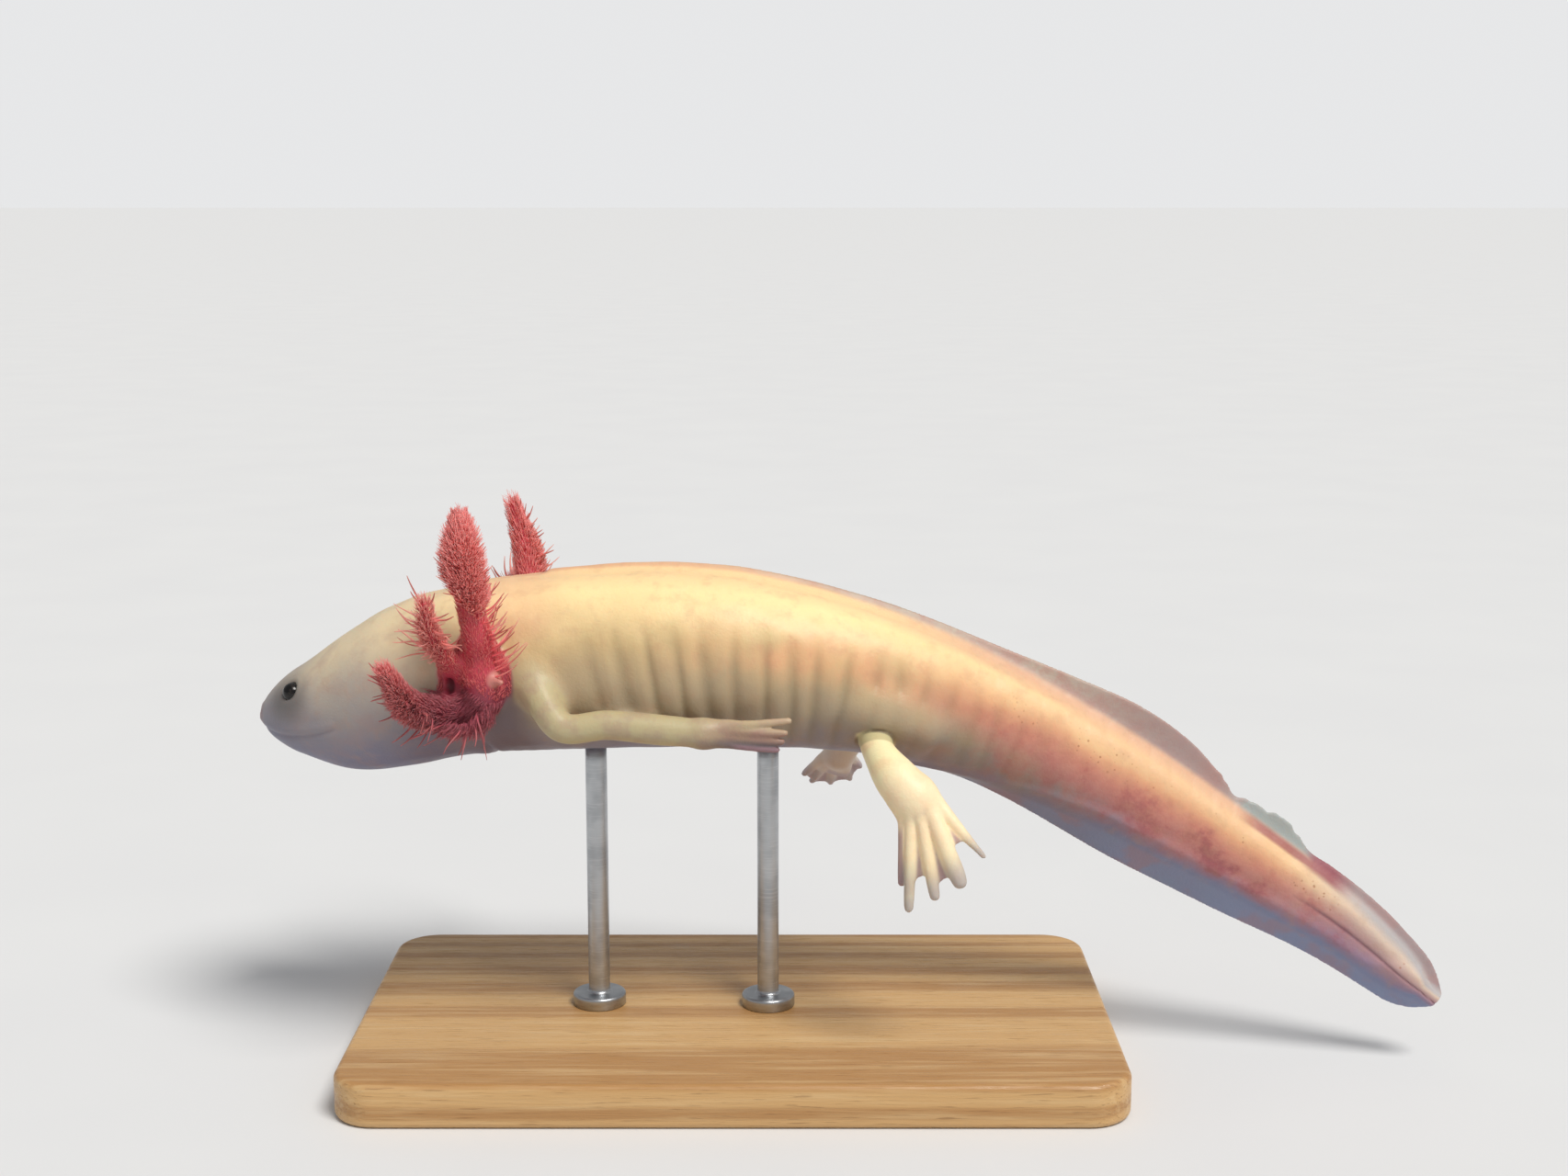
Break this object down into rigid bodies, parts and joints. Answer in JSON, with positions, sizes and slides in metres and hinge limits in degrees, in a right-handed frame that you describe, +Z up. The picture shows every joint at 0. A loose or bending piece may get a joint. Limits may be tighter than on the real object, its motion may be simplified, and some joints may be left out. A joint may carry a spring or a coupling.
{
  "type": "axolotl",
  "caption": "Life-size still model of a pale swimming axolotl with feathery red gills, a finned tail and spread toes, held above a flat base by short rods.",
  "frame": {"origin": "centre of the underside of the display stand's base", "axes": "+Z up; the head points along -X and the tail along +X; the animal's left side faces -Y"},
  "size_m": [0.2206, 0.08, 0.104],
  "materials": {
    "skin": "moist, softly shining cream skin with a pink flush",
    "fin": "thin, half-clear grey fin web",
    "gill": "moist crimson gill filaments",
    "eye": "wet, glossy black",
    "wood": "oiled pale oak",
    "steel": "satin steel rod"
  },
  "bodies": {
    "root": {"head": "skin", "lower_jaw": "skin", "neck": "skin", "trunk_front": "skin", "trunk_middle": "skin", "trunk_rear": "skin", "tail_base": "skin", "tail_middle": "skin", "tail_tip": "skin", "foreleg_left_upper": "skin", "foreleg_left_lower": "skin", "foreleg_left_hand": "skin", "hindleg_left_thigh": "skin", "hindleg_left_shin": "skin", "hindleg_left_foot": "skin", "foreleg_right_upper": "skin", "foreleg_right_lower": "skin", "foreleg_right_hand": "skin", "hindleg_right_thigh": "skin", "hindleg_right_shin": "skin", "hindleg_right_foot": "skin", "fin_dorsal_trunk": "fin", "fin_dorsal_tail": "fin", "fin_ventral_tail": "fin", "eye_left": "eye", "gill_left_top": "gill", "gill_left_middle": "gill", "gill_left_bottom": "gill", "eye_right": "eye", "gill_right_top": "gill", "gill_right_middle": "gill", "gill_right_bottom": "gill", "stand_base": "wood", "stand_rod_front": "steel", "stand_rod_rear": "steel"}
  },
  "joints": []
}
